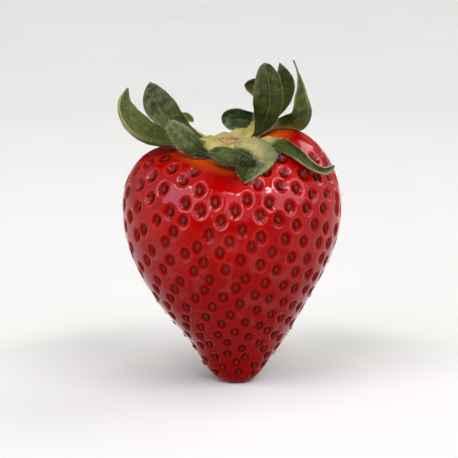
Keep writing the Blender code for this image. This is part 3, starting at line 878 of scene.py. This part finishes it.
def build_leaf(phase, green, hem=(0.1, 0.1), slant=0.0, red_shade=0.0, **shape):
    """A closed blade: the sheet's lower face from right to left and its upper face back again.

    Its thickness falls towards the tip and the margins, where the two faces meet in a thin edge.
    run is the place across it of each point of a ring. Where the pale base is slanted, the side
    that it runs further up is the downy one.
    """
    pale, tone, bloom = green
    sheet, along, across = leaf_sheet(phase, **shape)
    sheet = clear_of_flesh(sheet, LEAF_THICKNESS / 2 + LEAF_CLEARANCE)
    facing = unit(np.cross(np.gradient(sheet, axis=1), np.gradient(sheet, axis=0)))
    half = 0.5 * LEAF_THICKNESS * (1 - (1 - LEAF_EDGE_SHARE) * np.abs(across) ** 3)
    half = half * np.where(along > 0, 1, 1.2) * (1 - 0.55 * ease(along, 0.6, 1.0))
    upper = sheet + facing * half[..., None]
    lower = sheet - facing * half[..., None]
    rings = np.concatenate([lower[:, ::-1], upper[:, 1:-1]], axis=1)
    start, end = sheet[0].mean(axis=0), sheet[-1].mean(axis=0) + (sheet[-1] - sheet[-2]).mean(axis=0) * 0.6
    run = np.concatenate([across[::-1], across[1:-1]])
    uv = np.stack(np.broadcast_arrays(0.5 + 0.5 * run, along), axis=-1).reshape(-1, 2)
    uv = np.concatenate([uv, [(0.5, along[0, 0]), (0.5, 1.0)]])
    downy_side = bool(slant) * ease(run * np.sign(slant), -0.05, 0.60)
    base = (1 - ease(along - slant * run, pale - 0.12, pale + 0.02)) * (1 - 0.75 * downy_side)
    margin = hem[0] * ease(-run, 0.60, 0.82) + hem[1] * ease(run, 0.60, 0.82)
    margin = margin * ease(along, 0.42, 0.62) * (1 - ease(along, 0.92, 1.0))
    down = downy_side if slant else 0.15 + 0.85 * ease(along, 0.25, 0.8)
    # painted shade tinted by red light thrown off the fruit: a red-brown patch near the base, on one side
    brown = red_shade * ease(along, 0.02, 0.12) * (1 - ease(along, 0.22, 0.38)) * ease(run, -0.1, 0.6)
    under = np.arange(len(run)) < len(across)
    masks = dict(
        pale=(np.maximum(base, margin), 1.0, 0.0),
        under=(under, 0.5, 0.5),
        tone=(tone, tone, tone),
        bloom=(bloom * down, 0.0, bloom),
        red_shade=(brown, 0.0, 0.0),
    )
    for key, (value, first, last) in masks.items():
        masks[key] = np.append(np.broadcast_to(value, base.shape), [first, last])
    return closed_rings(rings[None], start[None], end[None]), masks, uv, (upper, lower, facing)


def leaf_pattern():
    """A node group for green blades: colour, roughness and relief from a blade's map and masks.

    The green lies between olive and deep, streaked lengthwise and darker near the base, which is
    painted shade. Over it come the grey of the underside and of the down, which is cloudy and
    thickest at the tip, the pale rib, margins and base, on some leaves a red-brown base that is
    painted shade tinted by red light from the fruit, and a brown tip.
    """
    tree = bpy.data.node_groups.new("leaf_pattern", "ShaderNodeTree")
    for name in ("Olive", "Deep", "Grey", "Pale"):
        tree.interface.new_socket(name, in_out="INPUT", socket_type="NodeSocketColor")
    for name, kind in (("Color", "Color"), ("Roughness", "Float"), ("Height", "Float")):
        tree.interface.new_socket(name, in_out="OUTPUT", socket_type="NodeSocket" + kind)
    given = tree.nodes.new("NodeGroupInput").outputs
    coordinates = add_node("ShaderNodeTexCoord", {}, tree).outputs
    place, blade = coordinates["Object"], coordinates["UV"]
    onward = axes(blade)["Y"]
    aside = combined("ABSOLUTE", combined("SUBTRACT", axes(blade)["X"], 0.5), 0.0)
    # the blade's map has no mm: about 34 streaks lie across it, each a third of its length
    streaks = noise(blade, 1.0 / MM, 3.0, (1 / 34, 1 / 3.0, 1))
    fine = noise(place, 0.5, 3.0)
    cloud = noise(place, 1.1, 3.0)
    broad = noise(place, 4.5, 1.0)
    tone = combined("ADD", mask(tree, "tone"), scaled(broad, 0.3, 0.7, -0.35, 0.35))
    pale = mask(tree, "pale")
    green = mix_colour(scaled(tone, 0, 1), given["Olive"], given["Deep"])
    green = mix_colour(1.0, green, scaled(streaks, 0.32, 0.68, 0.68, 1.34), "MULTIPLY")
    # painted shade: darker towards the base
    green = mix_colour(1.0, green, scaled(onward, 0.08, 0.42, 0.62, 1.0), "MULTIPLY")
    down = combined(
        "MULTIPLY", mask(tree, "bloom"), scaled(cloud, 0.38, 0.66, 0.15, 1.25),
        scaled(fine, 0.3, 0.7, 0.6, 1.2), scaled(onward, 0.72, 1.0, 1.0, 1.9),
    )
    mottled = scaled(cloud, 0.35, 0.65, 1.12, 0.72)
    base = combined("MULTIPLY", pale, scaled(streaks, 0.3, 0.7, 0.88, 1.08), mottled)
    green = layered(green, [
        (scaled(mask(tree, "under"), 0, 1, 0.0, 0.3), given["Grey"]),
        (down, given["Grey"]),
        (scaled(aside, 0.008, 0.030, 0.18, 0.0), given["Pale"]),
        (scaled(aside, 0.465, 0.500, 0.0, 0.16), given["Pale"]),
        (base, given["Pale"]),
        # painted shade tinted red by the fruit, near the base of the leaves that have it
        (mask(tree, "red_shade"), (0.16, 0.045, 0.012)),
        (scaled(onward, 0.965, 1.0, 0.0, 0.3), (0.22, 0.15, 0.07)),
    ])
    veined = combined("ADD", streaks, fine)
    feed(tree.nodes.new("NodeGroupOutput"), {
        "Color": green,
        "Roughness": scaled(cloud, 0.3, 0.7, 0.46, 0.66),
        "Height": combined("MULTIPLY", veined, scaled(pale, 0, 1, 1.0, 0.15)),
    })
    return tree


leaf_group = leaf_pattern()


def blade_finish(kind, olive, deep, grey):
    """Matt green tissue that lets a little light through, patterned in these colours."""
    made, tree = new_material(kind + "_blade")
    colours = {"Olive": olive, "Deep": deep, "Grey": grey, "Pale": (0.275, 0.265, 0.095)}
    pattern = add_node("ShaderNodeGroup", {}, tree, node_tree=leaf_group)
    feed(pattern, colours)
    return finished(made, {
        "Base Color": pattern.outputs["Color"],
        "Roughness": pattern.outputs["Roughness"],
        "Normal": relief(pattern.outputs["Height"], 0.4, 0.25),
        "Specular IOR Level": 0.05,
        "Subsurface Weight": 0.05,
        "Subsurface Radius": (0.3, 0.6, 0.1),
        "Subsurface Scale": 0.0006,
    })


finishes = {
    "sepal": blade_finish("sepal", (0.056, 0.069, 0.004), (0.017, 0.026, 0.003), (0.108, 0.142, 0.068)),
    "bract": blade_finish("bract", (0.080, 0.087, 0.005), (0.016, 0.026, 0.004), (0.100, 0.138, 0.064)),
}
leaf_faces = []
for number, (name, leaf) in enumerate(LEAVES.items()):
    kind = name.split("_")[0]
    surface, masks, uv, faces = build_leaf(1.7 * number, **leaf)
    leaf_faces.append(faces)
    blade = add_piece(name + "_blade", surface, finishes[kind], masks, uv)
    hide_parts(name)

# ---------------------------------------------------------------- down
# Short silky white hairs, far finer than the dried styles, which grow out of the leaves' own
# skin. They fringe the margins, and lean towards the tip over both faces.
DOWN_RADIUS = 0.010
EDGE_HAIRS = 190  # on each leaf, and on each of its faces
FACE_HAIRS = 130


def build_down(random):
    """Hairs at random points of each leaf.

    On the margins they point out and forward along the blade, and on the faces they lean towards
    the tip. They are rooted just inside it.
    """
    roots, ways, lengths = [], [], []
    for upper, lower, facing in leaf_faces:
        rows = random.integers(LEAF_BASE_ROWS + 4, len(upper) - 2, EDGE_HAIRS)
        right = random.uniform(size=EDGE_HAIRS) < 0.5
        column = np.where(right, LEAF_COLUMNS, 0)
        outward = unit(upper[rows, column] - upper[rows, np.where(right, LEAF_COLUMNS - 1, 1)])
        forward = unit(upper[rows + 1, column] - upper[rows - 1, column])
        roots.append(upper[rows, column] - 0.05 * outward)
        ways.append(unit(outward + random.uniform(0.3, 1.0, (EDGE_HAIRS, 1)) * forward))
        lengths.append(random.uniform(0.3, 0.8, EDGE_HAIRS))
        for sheet, sense in ((upper, 1), (lower, -1)):
            rows = random.integers(LEAF_BASE_ROWS, len(upper) - 2, FACE_HAIRS)
            column = random.integers(1, LEAF_COLUMNS, FACE_HAIRS)
            outward = sense * facing[rows, column]
            forward = unit(sheet[rows + 1, column] - sheet[rows - 1, column])
            roots.append(sheet[rows, column] - 0.02 * outward)
            ways.append(unit(forward + random.uniform(0.25, 0.7, (FACE_HAIRS, 1)) * outward))
            lengths.append(random.uniform(0.3, 0.6, FACE_HAIRS))
    root, way, length = np.concatenate(roots), np.concatenate(ways), np.concatenate(lengths)
    bend = random.normal(0, 0.18, root.shape)
    return hairs(root, way, bend, length, DOWN_RADIUS)


def white_down():
    """White with a tinge of green, more of it in some tufts than in others."""
    made, tree = new_material("white_down")
    tint = scaled(noise(object_place(tree), 1.5), 0.35, 0.65)
    colour = mix_colour(tint, (0.42, 0.45, 0.30), (0.58, 0.61, 0.48))
    return finished(made, {"Base Color": colour, "Roughness": 0.6})


add_piece("leaf_down", build_down(np.random.default_rng(3)), white_down(), {})

# ---------------------------------------------------------------- stage
# A pale plaster floor under a dome of dim light, with four broad soft windows round the fruit,
# two narrow bright ones above the front pair, and the camera a little above the shoulders.
FLOOR_HALF = 14.0  # metres, as the rest of the stage
WINDOW_DISTANCE = 10
WINDOW_TARGET = Vector((0, 0, 0.035))
CAMERA_ELEVATION = math.radians(11)
CAMERA_DISTANCE = 0.33
CAMERA_TARGET = Vector((-0.00156, 0, 0.0301))
VIEW_WIDTH = 0.0890  # what the frame spans at the fruit


def plaster():
    """Nearly white, in faint clouds, with a painted contact shadow round the fruit's foot and painted shade
    a little darker far away.
    """
    made, tree = new_material("pale_floor")
    place = object_place(tree)
    cloud = scaled(noise(place, 60.0, 4.0), 0.3, 0.7)
    pale = mix_colour(cloud, (0.56, 0.585, 0.515), (0.58, 0.605, 0.535))
    far = add_node("ShaderNodeVectorMath", {0: place}, operation="LENGTH").outputs["Value"]
    # painted shade: a little darker far from the fruit
    pale = mix_colour(1.0, pale, scaled(far, 0.05, 0.45, 1.0, 0.86), "MULTIPLY")
    # painted contact shadow round the fruit's foot
    pale = mix_colour(1.0, pale, scaled(far, 0.003, 0.028, 0.84, 1.0), "MULTIPLY")
    return finished(made, {"Base Color": pale, "Roughness": 0.9, "Specular IOR Level": 0.1})


mesh = bpy.data.meshes.new("floor")
corners = np.array([(-1, -1, 0), (1, -1, 0), (1, 1, 0), (-1, 1, 0)]) * FLOOR_HALF
mesh.from_pydata(corners, [], [(0, 1, 2, 3)])
mesh.materials.append(plaster())
floor = add_object("floor", mesh)
floor.visible_glossy = False  # the skin's gloss shows the dome's lower half in its place


def add_window(name, azimuth, low, high, span, radiance, colour):
    """A soft panel that spans these angles in degrees, as seen from the fruit."""
    height = math.radians(0.5 * (low + high))
    turn = math.radians(azimuth)
    way = Vector((math.sin(turn) * math.cos(height), -math.cos(turn) * math.cos(height), math.sin(height)))
    wide, tall = (2 * WINDOW_DISTANCE * math.tan(math.radians(0.5 * angle)) for angle in (span, high - low))
    lamp = bpy.data.lights.new(name, "AREA")
    lamp.shape = "RECTANGLE"
    lamp.size, lamp.size_y = wide, tall
    lamp.energy = radiance * math.pi * wide * tall
    lamp.color = colour
    holder = add_object(name, lamp)
    holder.location = WINDOW_TARGET + WINDOW_DISTANCE * way
    holder.rotation_euler = (-way).to_track_quat("-Z", "Y").to_euler()


add_window("left_window", -38, 13, 53, 46, 3.1, (0.92, 0.75, 1.12))
add_window("right_window", 46, 12, 52, 56, 2.6, (0.92, 0.76, 1.12))
add_window("front_window", 4, 12, 23, 36, 0.7, (0.92, 0.76, 1.12))
add_window("rear_window", 122, 26, 56, 40, 3.0, (1.0, 0.97, 1.0))
add_window("left_window_top", -36, 53, 57, 36, 28, (1, 1, 1))
add_window("right_window_top", 44, 51, 54.8, 38, 28, (1, 1, 1))

# The dome is dim at the horizon and brighter overhead, at both sides, low behind the fruit and
# under it. The camera sees it as pale as the floor, so that no horizon shows behind the fruit.
world = bpy.data.worlds.new("studio")
bpy.context.scene.world = world
world.use_nodes = True
dome = world.node_tree
across, back, up = axes(add_node("ShaderNodeTexCoord", {}, dome).outputs["Generated"])
low_behind = scaled(back, 0.25, 0.85, 0.0, 0.75), scaled(up, -0.15, 0.12, 1.0, 0.0)
glow = combined(
    "ADD",
    scaled(up, 0.05, 0.40, 0.05, 0.30),
    scaled(up, 0.60, 1.00, 0.0, 0.25),
    scaled(combined("ABSOLUTE", across, 0.0), 0.55, 0.95, 0.0, 0.46),
    combined("MULTIPLY", *low_behind),
    scaled(up, -0.02, -0.10, 0.0, 0.16),
)
seen = add_node("ShaderNodeLightPath", {}, dome).outputs["Is Camera Ray"]
shown = add_node("ShaderNodeMix", {0: seen, 2: glow, 3: 0.82}, data_type="FLOAT")
strength = shown.outputs["Result"]
feed(dome.nodes["Background"], {"Color": (0.985, 0.985, 0.98), "Strength": strength})

lens = bpy.data.cameras.new("camera")
lens.sensor_width = 36
lens.lens = lens.sensor_width * CAMERA_DISTANCE / VIEW_WIDTH
lens.clip_start = 0.01
camera = add_object("camera", lens)
backwards = Vector((0, -math.cos(CAMERA_ELEVATION), math.sin(CAMERA_ELEVATION)))
camera.location = CAMERA_TARGET + CAMERA_DISTANCE * backwards
camera.rotation_euler = (-backwards).to_track_quat("-Z", "Y").to_euler()
bpy.context.scene.camera = camera
bpy.context.scene.view_settings.view_transform = "Standard"
bpy.context.scene.cycles.use_denoising = True
